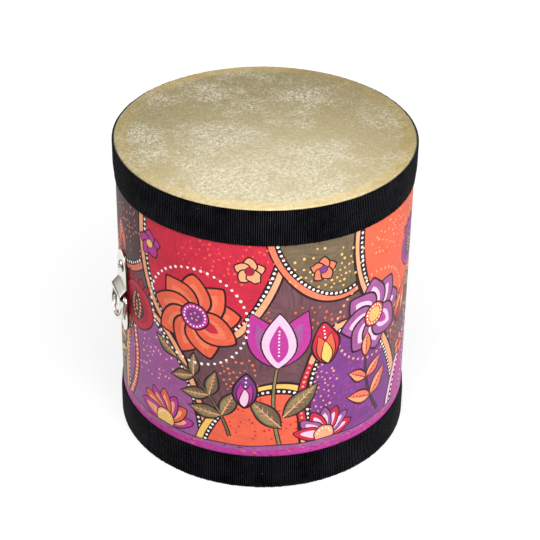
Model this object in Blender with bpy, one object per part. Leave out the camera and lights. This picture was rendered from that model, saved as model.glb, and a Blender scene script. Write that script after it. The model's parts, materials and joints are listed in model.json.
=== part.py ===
"""Marching drum with two film heads, ribbon trim and a strap bracket with a swinging D-ring.

Metres, +Z up. The drum stands on its lower head at z = 0, its axis is the Z axis, and the strap
bracket is on the -X side.
"""

import math

import bmesh
import bpy
from mathutils import Matrix, Vector

# Drum
DRUM_HEIGHT = 0.202
WRAP_RADIUS = 0.092
WRAP_THICKNESS = 0.0003
SHELL_WALL = 0.005
SEAT_GAP = 0.0002
SEGMENTS = 60

# Each end of the drum
FILM_THICKNESS = 0.0004
EDGE_ROUND = 0.0004
COLLAR_DEPTH = 0.017
HOOP_THICKNESS = 0.0004
HOOP_HEIGHT = 0.013
HOOP_SETBACK = 0.001
BAND_THICKNESS = 0.0006
BAND_HEIGHT = 0.0241
BAND_SETBACK = 0.00045
BAND_OVERLAP = 0.0047
GLUE_RING_THICKNESS = 0.0032
GLUE_RING_HEIGHT = 0.022
GLUE_RING_BEVEL = 0.0015

# Where the sheet and the ribbons are joined, seen from above, counted from +X
SEAM_ANGLE = math.radians(72)
SEAM_WIDTH = 0.0006
LAP_STEPS = 2

# Strap bracket, stamped from sheet
BRACKET_Z = 0.1065
BRACKET_WIDTH = 0.0193
BRACKET_LENGTH = 0.0588
BRACKET_SHEET = 0.0012
TIP_ARC_LENGTH = 0.0125
TIP_ROUND = 0.003
BRIDGE_SLOPE = math.radians(45)
BRIDGE_BASE = 0.0112
CREST_RADIUS = 0.0027
FOLD_RADIUS = 0.0006

# D-ring
WIRE_DIAMETER = 0.0034
RING_WIDTH = 0.0234
RING_LIMB = 0.0058
RING_CORNER = 0.0025
BAR_HEIGHT = 0.0023
BAR_DROP = 0.0002

# Bracket fasteners
SCREW_EDGE = 0.0114
SCREW_DIAMETER = 0.004
SCREW_LENGTH = 0.014
SCREW_HEAD_DIAMETER = 0.008
SCREW_HEAD_HEIGHT = 0.0017
RECESS_LENGTH = 0.0042
RECESS_WIDTH = 0.0009
RECESS_DEPTH = 0.0009
HOLE_CLEARANCE = 0.0005
WASHER_DIAMETER = 0.010
WASHER_THICKNESS = 0.001
NUT_ACROSS_FLATS = 0.007
NUT_THICKNESS = 0.0032

# Air vent
VENT_ANGLE = math.radians(90)
VENT_BORE = 0.0036
VENT_BARREL = 0.005
VENT_FLANGE = 0.009
VENT_FLANGE_HEIGHT = 0.0008
VENT_WASHER_THICKNESS = 0.0008
VENT_LIP = 0.001

# Worked out from the above
SHELL_RADIUS = WRAP_RADIUS - WRAP_THICKNESS - SEAT_GAP
SHELL_BORE = SHELL_RADIUS - SHELL_WALL
FILM_RADIUS = SHELL_RADIUS + SEAT_GAP + FILM_THICKNESS
HOOP_RADIUS = FILM_RADIUS + SEAT_GAP + HOOP_THICKNESS
BAND_RADIUS = HOOP_RADIUS + SEAT_GAP + BAND_THICKNESS
END_INSET = FILM_THICKNESS + SEAT_GAP
RIM_ROUND = EDGE_ROUND + END_INSET
WRAP_INSET = BAND_SETBACK + BAND_HEIGHT - BAND_OVERLAP
LEAF_BACK = WRAP_RADIUS + SEAT_GAP
LEAF_FACE = LEAF_BACK + BRACKET_SHEET
HEAD_SEAT = LEAF_FACE + SEAT_GAP
SCREW_OFFSET = BRACKET_LENGTH / 2 - SCREW_EDGE
SCREW_HEIGHTS = {"upper": BRACKET_Z + SCREW_OFFSET, "lower": BRACKET_Z - SCREW_OFFSET}
HOLE_RADIUS = (SCREW_DIAMETER + HOLE_CLEARANCE) / 2
BAR_RADIUS = WRAP_RADIUS + BAR_HEIGHT
BAR_Z = BRACKET_Z - BAR_DROP
RING_BOW = RING_WIDTH / 2
RING_REACH = RING_LIMB + RING_BOW
RING_STAND = HEAD_SEAT + SCREW_HEAD_HEIGHT + SEAT_GAP + WIRE_DIAMETER / 2
RING_LEAN = math.asin((RING_STAND - BAR_RADIUS) / RING_REACH)


def material(name, colour, roughness, metallic=0.0):
    made = bpy.data.materials.new(name)
    made.use_nodes = True
    shader = made.node_tree.nodes["Principled BSDF"]
    shader.inputs["Base Color"].default_value = (*colour, 1.0)
    shader.inputs["Roughness"].default_value = roughness
    shader.inputs["Metallic"].default_value = metallic
    return made


def placed(name, mesh, look, smooth=True):
    """An object for this bmesh, with smooth shading broken at its sharp edges."""
    data = bpy.data.meshes.new(name)
    bmesh.ops.recalc_face_normals(mesh, faces=mesh.faces)
    mesh.to_mesh(data)
    mesh.free()
    if smooth:
        data.shade_smooth()
        data.set_sharp_from_angle(angle=math.radians(35))
    made = bpy.data.objects.new(name, data)
    bpy.context.scene.collection.objects.link(made)
    if look:
        made.data.materials.append(look)
    return made


def arc(centre, radius, start, end, steps):
    """Points on an arc, in degrees counted from +r towards +z."""
    angles = [math.radians(start + (end - start) * i / steps) for i in range(steps + 1)]
    return [(centre[0] + radius * math.cos(a), centre[1] + radius * math.sin(a)) for a in angles]


def turned(name, outline, look, segments=SEGMENTS):
    """A solid of revolution about Z. An outline that starts and ends on the axis stays open there."""
    mesh = bmesh.new()
    verts = [mesh.verts.new((r, 0, z)) for r, z in outline]
    pairs = list(zip(verts, verts[1:]))
    if outline[0][0] > 0:
        pairs.append((verts[-1], verts[0]))
    edges = [mesh.edges.new(pair) for pair in pairs]
    bmesh.ops.spin(
        mesh,
        geom=verts + edges,
        cent=(0, 0, 0),
        axis=(0, 0, 1),
        angle=math.tau,
        steps=segments,
        use_merge=True,
    )
    bmesh.ops.remove_doubles(mesh, verts=mesh.verts, dist=1e-6)
    return placed(name, mesh, look)


def extruded(name, outline, depth, look):
    """A flat outline in X and Y pushed up along Z, half of its depth to each side."""
    mesh = bmesh.new()
    face = mesh.faces.new([mesh.verts.new((x, y, -depth / 2)) for x, y in outline])
    pushed = bmesh.ops.extrude_face_region(mesh, geom=[face])["geom"]
    moved = [v for v in pushed if isinstance(v, bmesh.types.BMVert)]
    bmesh.ops.translate(mesh, vec=(0, 0, depth), verts=moved)
    return placed(name, mesh, look)


def cut(target, cutter, operation="DIFFERENCE"):
    """Takes the cutter away from the target, or keeps only what they share."""
    cutter.hide_render = True
    cutter.display_type = "WIRE"
    boolean = target.modifiers.new(cutter.name, "BOOLEAN")
    boolean.operation = operation
    boolean.object = cutter


def facing(angle, radius, z):
    """A place on the drum's side, with its own Z axis pointing straight out."""
    out = Vector((math.cos(angle), math.sin(angle), 0))
    across = Vector((-math.sin(angle), math.cos(angle), 0))
    turn = Matrix((across, Vector((0, 0, 1)), out)).transposed().to_4x4()
    return Matrix.Translation(out * radius + Vector((0, 0, z))) @ turn


def rod(name, radius, length, where, segments=20):
    """A cylinder used as a cutter."""
    half = length / 2
    made = turned(name, [(0, half), (radius, half), (radius, -half), (0, -half)], None, segments)
    made.matrix_world = where
    return made


def at_end(outline, top):
    """An outline drawn down from the top rim, or the same turned over for the lower rim."""
    return [(r, DRUM_HEIGHT - z if top else z) for r, z in outline]


def shell(look):
    edge = arc((SHELL_RADIUS - EDGE_ROUND, END_INSET + EDGE_ROUND), EDGE_ROUND, 0, -90, 3)
    lower = at_end(edge, False)
    upper = at_end(edge, True)
    bore = [(SHELL_BORE, END_INSET), (SHELL_BORE, DRUM_HEIGHT - END_INSET)]
    made = turned("shell", upper[::-1] + lower + bore, look)
    for side, z in SCREW_HEIGHTS.items():
        drill = rod("shell_hole_" + side, HOLE_RADIUS, 4 * SHELL_WALL, facing(math.pi, SHELL_RADIUS, z))
        cut(made, drill)
    vent = (VENT_BARREL + HOLE_CLEARANCE) / 2
    cut(made, rod("shell_vent", vent, 4 * SHELL_WALL, facing(VENT_ANGLE, SHELL_RADIUS, DRUM_HEIGHT / 2)))
    return made


def printed_wrap(look):
    """The sleeve is a sheet bent round the shell, so it has a narrow butt seam at the back."""
    inner = WRAP_RADIUS - WRAP_THICKNESS
    top = DRUM_HEIGHT - WRAP_INSET
    outline = [(WRAP_RADIUS, top), (WRAP_RADIUS, WRAP_INSET), (inner, WRAP_INSET), (inner, top)]
    made = turned("printed_wrap", outline, look)
    deep = 8 * WRAP_THICKNESS
    for side, z in SCREW_HEIGHTS.items():
        cut(made, rod("wrap_hole_" + side, HOLE_RADIUS, deep, facing(math.pi, WRAP_RADIUS, z)))
    vent = (VENT_BARREL + HOLE_CLEARANCE) / 2
    cut(made, rod("wrap_vent", vent, deep, facing(VENT_ANGLE, WRAP_RADIUS, DRUM_HEIGHT / 2)))
    half, tall = SEAM_WIDTH / 2, DRUM_HEIGHT
    slit = extruded("wrap_seam", [(-half, -tall), (half, -tall), (half, tall), (-half, tall)], deep, None)
    slit.matrix_world = facing(SEAM_ANGLE, WRAP_RADIUS, DRUM_HEIGHT / 2)
    cut(made, slit)
    return made


def head(name, top, look):
    """A film cup: the flat playing face, a rounded rim and a collar down the shell's side."""
    centre = (FILM_RADIUS - RIM_ROUND, RIM_ROUND)
    outer = [(0, 0)] + arc(centre, RIM_ROUND, -90, 0, 4) + [(FILM_RADIUS, COLLAR_DEPTH)]
    inner_round = RIM_ROUND - FILM_THICKNESS
    inner = [(FILM_RADIUS - FILM_THICKNESS, COLLAR_DEPTH)] + arc(centre, inner_round, 0, -90, 4)
    return turned(name, at_end(outer + inner + [(0, FILM_THICKNESS)], top), look)


def hoop(name, top, look):
    inner = HOOP_RADIUS - HOOP_THICKNESS
    low = HOOP_SETBACK + HOOP_HEIGHT
    outline = [(HOOP_RADIUS, HOOP_SETBACK), (HOOP_RADIUS, low), (inner, low), (inner, HOOP_SETBACK)]
    return turned(name, at_end(outline, top), look)


def glue_ring(name, top, look):
    outer = SHELL_BORE - SEAT_GAP
    inner = outer - GLUE_RING_THICKNESS
    low = END_INSET + GLUE_RING_HEIGHT
    relief = [(inner, END_INSET + GLUE_RING_BEVEL), (inner + GLUE_RING_BEVEL, END_INSET)]
    outline = [(outer, END_INSET), (outer, low), (inner, low)] + relief
    return turned(name, at_end(outline, top), look)


def band(name, top, look):
    """A ribbon laid once round the hoop and down on to the wrap, its end lapped over its start."""
    collar_end = COLLAR_DEPTH + SEAT_GAP
    low = BAND_SETBACK + BAND_HEIGHT
    on_wrap = WRAP_RADIUS + SEAT_GAP + BAND_THICKNESS
    face = [(BAND_RADIUS, BAND_SETBACK), (BAND_RADIUS, collar_end), (on_wrap, low)]
    back = [(r - BAND_THICKNESS, z) for r, z in reversed(face)]
    outline = at_end(face + back, top)
    mesh = bmesh.new()
    step = math.tau / SEGMENTS
    climb = BAND_THICKNESS + SEAT_GAP
    rows = []
    for i in range(SEGMENTS + LAP_STEPS + 1):
        lift = climb * min(1, max(0, (i - SEGMENTS + LAP_STEPS) / LAP_STEPS))
        turn = Matrix.Rotation(SEAM_ANGLE + i * step, 3, "Z")
        rows.append([mesh.verts.new(turn @ Vector((r + lift, 0, z))) for r, z in outline])
    count = len(outline)
    for row, after in zip(rows, rows[1:]):
        for i in range(count):
            mesh.faces.new((row[i], row[(i + 1) % count], after[(i + 1) % count], after[i]))
    for ending in (rows[0], rows[-1]):
        mesh.faces.new(ending)
    return placed(name, mesh, look)


def folded(steps, sheet):
    """The outline of a folded strip: runs and bends taken in order, then thickened to both sides."""
    x, y, heading = 0.0, 0.0, 0.0
    path = [(x, y, heading)]
    for kind, amount, radius in steps:
        if kind == "run":
            x += amount * math.cos(heading)
            y += amount * math.sin(heading)
            path.append((x, y, heading))
            continue
        side = math.copysign(1, amount)
        centre = (x - side * radius * math.sin(heading), y + side * radius * math.cos(heading))
        start = heading
        parts = max(2, round(abs(amount) / math.radians(15)))
        for i in range(1, parts + 1):
            heading = start + amount * i / parts
            x = centre[0] + side * radius * math.sin(heading)
            y = centre[1] - side * radius * math.cos(heading)
            path.append((x, y, heading))
    half = sheet / 2
    above = [(x - half * math.sin(a), y + half * math.cos(a)) for x, y, a in path]
    below = [(x + half * math.sin(a), y - half * math.cos(a)) for x, y, a in path]
    return above, below


def bracket_side():
    """The bracket seen from its edge: x along its length from the middle, y out from the leaf's back."""
    fold = FOLD_RADIUS + BRACKET_SHEET / 2
    crest = CREST_RADIUS - BRACKET_SHEET / 2
    # Where the straight slope meets its two bends, found from the base width of the outer faces.
    tangent = math.tan(BRIDGE_SLOPE / 2)
    base = BRIDGE_BASE / 2 - BRACKET_SHEET / 2 * tangent
    rise = base / math.cos(BRIDGE_SLOPE) - crest * math.tan(BRIDGE_SLOPE) - fold * tangent
    leaf = BRACKET_LENGTH / 2 - base - fold * tangent
    half = [("run", leaf, 0), ("bend", BRIDGE_SLOPE, fold), ("run", rise, 0)]
    back = [("run", rise, 0), ("bend", BRIDGE_SLOPE, fold), ("run", leaf, 0)]
    above, below = folded(half + [("bend", -2 * BRIDGE_SLOPE, crest)] + back, BRACKET_SHEET)
    outline = above + below[::-1]
    return [(x - BRACKET_LENGTH / 2, y + BRACKET_SHEET / 2) for x, y in outline]


def tongue():
    """The bracket seen from the front: straight sides, arched ends and round tips."""
    half_width, half_length = BRACKET_WIDTH / 2, BRACKET_LENGTH / 2
    climb = TIP_ARC_LENGTH - TIP_ROUND
    # The side arc is tangent to the straight side and to the round tip.
    radius = (half_width**2 + climb**2 - TIP_ROUND**2) / (2 * (half_width - TIP_ROUND))
    meet = math.degrees(math.atan2(climb, radius - half_width))
    side = arc((half_width - radius, half_length - TIP_ARC_LENGTH), radius, 0, meet, 5)[:-1]
    tip = arc((0, half_length - TIP_ROUND), TIP_ROUND, meet, 180 - meet, 6)
    upper = side + tip + [(-x, y) for x, y in reversed(side)]
    return upper + [(-x, -y) for x, y in upper]


def strap_bracket(look):
    """The folded strip, kept only inside the tongue outline, then drilled for its screws."""
    where = facing(math.pi, LEAF_BACK, BRACKET_Z)
    made = extruded("strap_bracket", bracket_side(), BRACKET_WIDTH * 1.2, look)
    # The side view's x runs up the drum and its y points out.
    made.matrix_world = where @ Matrix(((0, 0, 1, 0), (1, 0, 0, 0), (0, 1, 0, 0), (0, 0, 0, 1)))
    outline = extruded("bracket_outline", tongue(), 6 * BRIDGE_BASE, None)
    outline.matrix_world = where
    cut(made, outline, "INTERSECT")
    for side, z in SCREW_HEIGHTS.items():
        drill = rod("bracket_hole_" + side, HOLE_RADIUS, 8 * BRACKET_SHEET, facing(math.pi, LEAF_FACE, z))
        cut(made, drill)
    return made


def strap_ring(look):
    """A wire bent to a D. Its straight bar lies in the bridge, and its bow leans on the lower screw."""
    corner = RING_CORNER
    right = arc((RING_BOW - corner, -corner), corner, 90, 0, 4)
    bow = arc((0, -RING_LIMB), RING_BOW, 0, -180, 16)
    path = right + bow + [(-x, y) for x, y in reversed(right)]
    data = bpy.data.curves.new("strap_ring", "CURVE")
    data.dimensions = "3D"
    data.bevel_depth = WIRE_DIAMETER / 2
    data.bevel_resolution = 3
    spline = data.splines.new("POLY")
    spline.points.add(len(path) - 1)
    for point, (across, along) in zip(spline.points, path):
        point.co = (0, across, along, 1)
    spline.use_cyclic_u = True
    spline.use_smooth = True
    data.materials.append(look)
    made = bpy.data.objects.new("strap_ring", data)
    bpy.context.scene.collection.objects.link(made)
    made.location = (-BAR_RADIUS, 0, BAR_Z)
    made.rotation_euler = (0, RING_LEAN, 0)
    return made


def bracket_screw(side, look):
    """A low domed head with a cross recess, and its shank through the leaf, wrap and shell."""
    head_radius, shank = SCREW_HEAD_DIAMETER / 2, SCREW_DIAMETER / 2
    dome = (head_radius**2 + SCREW_HEAD_HEIGHT**2) / (2 * SCREW_HEAD_HEIGHT)
    spread = math.degrees(math.asin(head_radius / dome))
    crown = arc((0, SCREW_HEAD_HEIGHT - dome), dome, 90, 90 - spread, 4)
    crown[0] = (0, SCREW_HEAD_HEIGHT)
    stem = [(shank, 0), (shank, -SCREW_LENGTH), (0, -SCREW_LENGTH)]
    made = turned("bracket_screw_" + side, crown + stem, look, 20)
    made.matrix_world = facing(math.pi, HEAD_SEAT, SCREW_HEIGHTS[side])
    a, b = RECESS_WIDTH / 2, RECESS_LENGTH / 2
    quarter = [(b, -a), (b, a), (a, a)]
    cross = []
    for _ in range(4):
        cross += quarter
        quarter = [(-y, x) for x, y in quarter]
    recess = extruded("recess_" + side, cross, 2 * RECESS_DEPTH, None)
    recess.matrix_world = facing(math.pi, HEAD_SEAT + SCREW_HEAD_HEIGHT, SCREW_HEIGHTS[side])
    cut(made, recess)
    return made


def inner_seat(diameter):
    """How far from the axis a flat piece of this size sits against the inside of the shell."""
    return math.sqrt(SHELL_BORE**2 - (diameter / 2) ** 2) * math.cos(math.pi / SEGMENTS) - SEAT_GAP


def ring_plate(name, outer, inner, thickness, look, segments=20):
    """A flat washer, its upper face at its own origin."""
    outline = [(outer / 2, 0), (outer / 2, -thickness), (inner / 2, -thickness), (inner / 2, 0)]
    return turned(name, outline, look, segments)


def bracket_washer(side, look):
    bore = SCREW_DIAMETER + HOLE_CLEARANCE
    made = ring_plate("bracket_washer_" + side, WASHER_DIAMETER, bore, WASHER_THICKNESS, look)
    made.matrix_world = facing(math.pi, inner_seat(WASHER_DIAMETER), SCREW_HEIGHTS[side])
    return made


def bracket_nut(side, look):
    """A plain hex nut. Its bore clears the shank, which stands for the thread."""
    corner = NUT_ACROSS_FLATS / math.sqrt(3)
    hexagon = arc((0, 0), corner, 0, 300, 5)
    made = extruded("bracket_nut_" + side, hexagon, NUT_THICKNESS, look)
    seat = inner_seat(WASHER_DIAMETER) - WASHER_THICKNESS - SEAT_GAP - NUT_THICKNESS / 2
    where = facing(math.pi, seat, SCREW_HEIGHTS[side])
    made.matrix_world = where
    cut(made, rod("nut_bore_" + side, SCREW_DIAMETER / 2 + SEAT_GAP, 2 * NUT_THICKNESS, where))
    return made


def vent_eyelet(look):
    """An eyelet through the wall: a rounded flange outside and a barrel that ends in a small lip."""
    wall = WRAP_RADIUS + SEAT_GAP - inner_seat(VENT_FLANGE)
    end = -(wall + VENT_WASHER_THICKNESS + SEAT_GAP + VENT_LIP)
    bore, barrel, flange = VENT_BORE / 2, VENT_BARREL / 2, VENT_FLANGE / 2
    roll = VENT_FLANGE_HEIGHT
    crown = arc((flange - roll, 0), roll, 90, 0, 4)
    throat = arc((bore + roll, 0), roll, 180, 90, 4)
    lip_top = end + VENT_LIP
    lip = [(barrel, lip_top), (barrel + VENT_LIP, end), (bore, end)]
    made = turned("vent_eyelet", throat + crown + [(barrel, 0)] + lip, look, 24)
    made.matrix_world = facing(VENT_ANGLE, WRAP_RADIUS + SEAT_GAP, DRUM_HEIGHT / 2)
    return made


def vent_washer(look):
    bore = VENT_BARREL + HOLE_CLEARANCE
    made = ring_plate("vent_washer", VENT_FLANGE, bore, VENT_WASHER_THICKNESS, look, 24)
    made.matrix_world = facing(VENT_ANGLE, inner_seat(VENT_FLANGE), DRUM_HEIGHT / 2)
    return made


def main():
    for old in list(bpy.data.objects):
        bpy.data.objects.remove(old)
    board = material("fibreboard", (0.42, 0.30, 0.17), 0.75)
    sheet = material("printed_sheet", (0.20, 0.06, 0.08), 0.32)
    film = material("film", (0.36, 0.32, 0.17), 0.42)
    strip = material("hoop_strip", (0.05, 0.05, 0.05), 0.5)
    ribbon = material("ribbon", (0.012, 0.011, 0.012), 0.8)
    nickel = material("nickel", (0.78, 0.76, 0.72), 0.18, 1.0)
    steel = material("zinc_steel", (0.62, 0.62, 0.63), 0.38, 1.0)

    shell(board)
    printed_wrap(sheet)
    for end, top, trim in (("batter", True, "top_band"), ("resonant", False, "bottom_band")):
        glue_ring(end + "_glue_ring", top, board)
        head(end + "_head", top, film)
        hoop(end + "_hoop", top, strip)
        band(trim, top, ribbon)
    strap_bracket(nickel)
    strap_ring(nickel)
    for side in SCREW_HEIGHTS:
        bracket_screw(side, nickel)
        bracket_washer(side, steel)
        bracket_nut(side, steel)
    vent_eyelet(nickel)
    vent_washer(steel)


main()
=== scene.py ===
"""The looks of the marching drum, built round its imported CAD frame.

The drum's axis is Z, it stands at z = 0, and the strap bracket is on the -X side. Meshes are worked out
in mm and become metres when they are made. Materials, lamps and the camera are in metres.
"""

import json
import random
from math import asin, atan2, copysign, cos, degrees, dist, hypot, pi, radians, sin, sqrt, tan, tau

import bmesh
import bpy
import numpy as np
from mathutils import Matrix, Vector
from mathutils.geometry import delaunay_2d_cdt

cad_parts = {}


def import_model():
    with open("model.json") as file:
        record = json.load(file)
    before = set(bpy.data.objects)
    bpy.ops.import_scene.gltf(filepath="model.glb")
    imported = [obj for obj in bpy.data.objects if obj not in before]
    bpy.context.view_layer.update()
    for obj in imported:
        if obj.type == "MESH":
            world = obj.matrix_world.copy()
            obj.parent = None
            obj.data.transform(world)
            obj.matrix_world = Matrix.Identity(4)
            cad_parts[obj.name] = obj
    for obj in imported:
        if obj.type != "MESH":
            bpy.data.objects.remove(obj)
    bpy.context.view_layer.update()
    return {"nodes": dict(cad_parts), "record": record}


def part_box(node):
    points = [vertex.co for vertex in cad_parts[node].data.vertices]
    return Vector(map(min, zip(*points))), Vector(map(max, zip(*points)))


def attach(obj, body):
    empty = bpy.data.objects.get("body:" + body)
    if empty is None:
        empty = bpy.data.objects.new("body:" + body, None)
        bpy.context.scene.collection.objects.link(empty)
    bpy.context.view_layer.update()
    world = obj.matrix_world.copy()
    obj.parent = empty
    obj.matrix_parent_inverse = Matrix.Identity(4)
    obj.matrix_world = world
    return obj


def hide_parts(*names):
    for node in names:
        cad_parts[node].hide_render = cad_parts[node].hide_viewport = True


MM = 0.001

# Sizes that the CAD part gives, in mm
DRUM_HEIGHT = 202.0
WRAP_RADIUS = 92.0
WRAP_THICKNESS = 0.3
FILM_RADIUS = 92.1
FILM_THICKNESS = 0.4
RIM_ROUND = 1.0
COLLAR_DEPTH = 17.0
BAND_RADIUS = 93.5
BAND_THICKNESS = 0.6
BAND_HEIGHT = 24.1
BAND_SETBACK = 0.45
BAND_FOOT = 92.8
LAP_LIFT = 0.8
SEAM_ANGLE = radians(72)
LAP_ANGLE = radians(12)
SEAM_WIDTH = 0.6
LEAF_BACK = 92.2
BRACKET_Z = 106.5
BRACKET_WIDTH = 19.3
BRACKET_LENGTH = 58.8
BRACKET_SHEET = 1.2
TIP_ARC_LENGTH = 12.5
TIP_ROUND = 3.0
BRIDGE_SLOPE = radians(45)
BRIDGE_BASE = 11.2
CREST_RADIUS = 2.7
FOLD_RADIUS = 0.6
WIRE_RADIUS = 1.7
RING_BOW = 11.7
RING_LIMB = 5.8
RING_CORNER = 2.5
BAR_RADIUS = 94.3
BAR_Z = 106.3
RING_LEAN = radians(9.54)
SCREW_HEIGHTS = {"upper": 124.5, "lower": 88.5}
SCREW_SEAT = 93.6
SCREW_HEAD_RADIUS = 4.0
SCREW_HEAD_HEIGHT = 1.7
SHANK_RADIUS = 2.0
SHANK_LENGTH = 14.0
HOLE_RADIUS = 2.25
VENT_ANGLE = radians(90)
VENT_HOLE = 2.75
EYELET_SEAT = 92.2
EYELET_BORE = 1.8
EYELET_BARREL = 2.5
EYELET_FLANGE = 4.5
EYELET_ROLL = 0.8

# Ribbon, looks only: counts, and sizes in mm
RIBS = 452
RIB_STEPS = 6
RIB_DEPTH, RIB_SPREAD = 0.34, 0.12
TOP_SEED, BOTTOM_SEED = 5, 6
BAND_ROWS = (0.0, 0.1, 0.35, 0.9, 3, 7, 11, 15, 18, 20.5, 22.6, 23.4, 23.85, 24.02, BAND_HEIGHT)
BACK_ROWS = (BAND_HEIGHT - 0.2, 18, 14, 0.2)
BAND_FRONT = radians(250) - SEAM_ANGLE
LEAN_FROM = 14.5
DIP, LOOSENESS = 0.36, 0.04
SWAY_ANGLE = 0.0006
HEM_REACH = 1.8
ROLL_REACH, ROLL_DEPTH = 0.4, 0.3

# The other finer meshes: counts, and sizes in mm
HOLE_SIDES, HEAD_SIDES, SCREW_SIDES, EYELET_SIDES, WIRE_SIDES = 32, 240, 48, 64, 24
FILM_ROWS = (0, 8, 20, 34, 48, 62, 74, 82, 86, 89)
WRAP_COLUMNS = 180
HOLE_CLEARANCE = 6
SOFT_EDGE = 0.3
SHARP_ANGLE, SCREW_SHARP_ANGLE = radians(38), radians(30)
ON_AXIS = 1e-9
MERGE_DISTANCE = 1e-4

# The head's fibres: cells to the metre, half width as a share of a cell, share of cells in use
FIBRES = (
    (620, 0.15, 0.5),
    (520, 0.13, 0.5),
    (430, 0.11, 0.5),
    (340, 0.09, 0.6),
    (260, 0.07, 0.6),
    (200, 0.055, 0.5),
)
# Where the straw ring begins and is full, the spot of painted light towards the front of the head, and
# its reach, in metres
STRAW_FROM, STRAW_FULL = 0.0846, 0.0878
PAINTED_LIGHT_SPOT = (-0.0125, -0.055, 0.202)
PAINTED_LIGHT_REACH, PAINTED_LIGHT_HEART = 0.12, 0.02

# The photo's viewpoint, found from the rim and ribbon ellipses
VIEW_TURN, VIEW_CLIMB, VIEW_ROLL = radians(-20), radians(32.677), radians(0.872)
VIEW_DISTANCE, VIEW_ASIDE, VIEW_HEIGHT = 1.0932, 0.0041, 0.1025
FOCAL_PIXELS, PHOTO_PIXELS, SENSOR_WIDTH = 1706.56, 540, 36.0
# Level directions in the photo, from the drum: to the camera, and to the left
TO_CAMERA = (-0.34, -0.94, 0.0)
TO_LEFT = (-0.94, 0.34, 0.0)

# Lamps: name, place, aim, width, height, watts
LAMPS = (
    ("key", (-0.06, -0.34, 0.55), (0, -0.06, 0.16), 0.3, 0.26, 2.7),
    ("front", (0.19, -0.83, 0.12), (0, 0, 0.09), 0.7, 0.4, 3.4),
    ("left", (-0.88, 0.36, 0.34), (0, 0, 0.1), 0.4, 0.3, 2.5),
    ("right", (0.92, -0.3, 0.2), (0, 0, 0.1), 0.6, 0.36, 2.0),
    ("back", (0.2, 0.95, 0.2), (0, 0, 0.1), 0.7, 0.36, 2.0),
)
AMBIENT = 0.13
FLOOR_GLOW = 0.83
FLOOR_REACH, FLOOR_LEVEL = 4.0, -0.0003

# The flat printed sheet, in mm, and how many mm make a unit of its UV map
PRINT_SEED = 23
SHEET_FROM, SHEET_TO = -285.8, 291.6
SHEET_LOW, SHEET_HIGH = 19.85, 182.15
UV_UNIT = 100
FIELD_FOOT = 27.0
BORDER_FROM, BORDER_TO, BORDER_FOOT = -300, 306, 10
BORDER_TOP, BORDER_MIDDLE = 32.6, 28.8
FLECKS = 420
PETAL_STEPS, BEND_STEPS = 14, 18
VINE_WIDTH = 4.5

# Paints: red, green, blue, and how unevenly they lie
PAINTS = {
    "brown": (112, 78, 84, 0.9),
    "umber": (84, 58, 62, 0.7),
    "crimson": (206, 48, 70, 0.5),
    "ruby": (178, 40, 62, 0.5),
    "orange": (238, 104, 76, 0.45),
    "coral": (244, 128, 96, 0.4),
    "peach": (250, 172, 130, 0.4),
    "violet": (164, 92, 152, 0.6),
    "purple": (128, 66, 138, 0.6),
    "magenta": (192, 62, 154, 0.4),
    "pink": (250, 200, 226, 0.25),
    "olive": (116, 100, 78, 0.95),
    "moss": (146, 132, 92, 0.8),
    "ink": (54, 33, 38, 0.35),
    "white": (254, 252, 248, 0.1),
    "gold": (250, 200, 110, 0.3),
    "paper": (226, 220, 208, 0.2),
}
# Fields that hang from the top or rise from the foot: u, half width, height, lean, fill, edge
HANGING = (
    (-250, 46, 62, 0.1, "violet", "orange"),
    (-172, 52, 76, -0.15, "crimson", "peach"),
    (-100, 42, 56, 0.2, "umber", "coral"),
    (-34, 52, 84, 0.12, "crimson", "peach"),
    (40, 40, 50, -0.2, "olive", "coral"),
    (108, 52, 78, 0.1, "orange", "peach"),
    (178, 44, 56, -0.12, "purple", "coral"),
    (246, 50, 78, 0.15, "ruby", "peach"),
)
RISING = (
    (-272, 50, 74, 0.1, "orange", "peach"),
    (-212, 44, 96, -0.12, "purple", "pink"),
    (-138, 46, 62, 0.15, "olive", "peach"),
    (-72, 42, 88, -0.1, "violet", "peach"),
    (0, 44, 54, 0.2, "orange", "gold"),
    (68, 44, 92, -0.16, "purple", "peach"),
    (138, 46, 64, 0.12, "magenta", "pink"),
    (208, 46, 92, 0.1, "crimson", "peach"),
    (276, 44, 62, -0.1, "olive", "coral"),
)
# Loose dots: u, v, reach along each, how many, radius, colour
STIPPLES = (
    (-98, 160, 26, 16, 46, 0.8, "coral"),
    (-20, 164, 34, 14, 60, 0.75, "orange"),
    (40, 158, 26, 16, 54, 0.8, "gold"),
    (104, 162, 34, 14, 60, 0.8, "peach"),
    (18, 120, 34, 14, 60, 0.85, "orange"),
    (-14, 84, 12, 16, 36, 0.8, "coral"),
    (36, 72, 12, 20, 46, 0.8, "peach"),
    (100, 96, 16, 18, 44, 0.8, "orange"),
    (-104, 76, 14, 20, 44, 0.8, "orange"),
    (-78, 84, 22, 24, 50, 0.75, "pink"),
    (62, 60, 26, 30, 60, 0.75, "magenta"),
    (0, 52, 26, 18, 46, 0.8, "crimson"),
    (150, 120, 26, 18, 60, 0.85, "orange"),
    (178, 164, 30, 14, 54, 0.8, "pink"),
    (246, 160, 34, 16, 60, 0.8, "coral"),
    (208, 84, 26, 30, 60, 0.8, "peach"),
    (140, 60, 24, 22, 46, 0.8, "pink"),
    (232, 118, 22, 12, 40, 0.85, "orange"),
    (-250, 166, 30, 12, 50, 0.8, "pink"),
    (-172, 158, 32, 18, 60, 0.8, "peach"),
    (-212, 84, 26, 30, 60, 0.8, "magenta"),
    (-138, 60, 26, 22, 50, 0.8, "gold"),
    (-272, 70, 24, 26, 46, 0.8, "crimson"),
    (-200, 112, 24, 14, 46, 0.85, "orange"),
    (-134, 112, 16, 14, 36, 0.85, "coral"),
    (276, 60, 14, 20, 36, 0.8, "coral"),
)
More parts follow.
